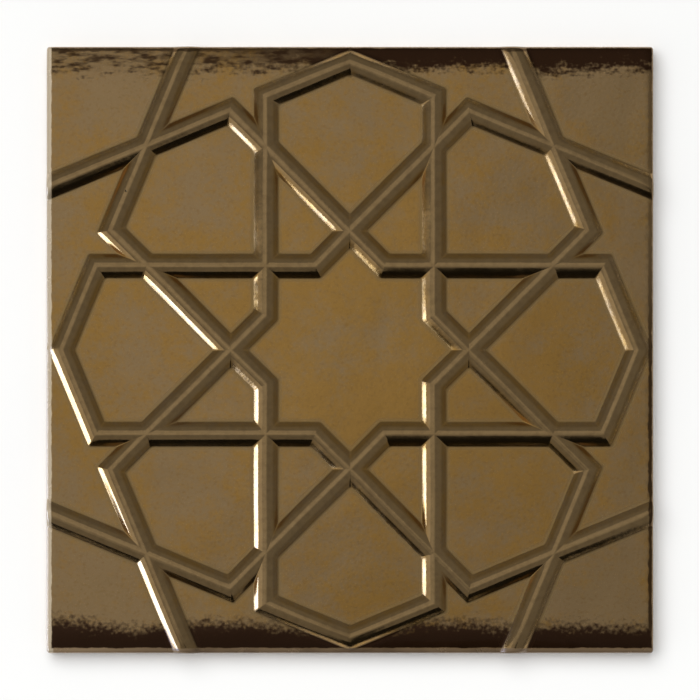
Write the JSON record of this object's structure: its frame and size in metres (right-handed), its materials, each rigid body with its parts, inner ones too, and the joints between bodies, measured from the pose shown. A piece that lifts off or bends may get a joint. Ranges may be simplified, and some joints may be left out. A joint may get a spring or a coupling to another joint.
{
  "type": "relief tile",
  "caption": "Square pressed ceramic wall tile with a glossy golden brown glaze and a raised strapwork star inside a ring of petals, laid edge to edge with a narrow joint",
  "frame": {"origin": "centre of the underside, on the surface that the tile lies on", "axes": "+Z points out of the glazed face, +Y to the top of the pattern as laid, +X to its right"},
  "size_m": [0.2, 0.2, 0.0103],
  "materials": {
    "glaze": "glossy golden brown glaze, darker where it pools at the top and bottom borders, over a pale buff body"
  },
  "bodies": {
    "root": {"relief_tile": "glaze"}
  },
  "joints": []
}
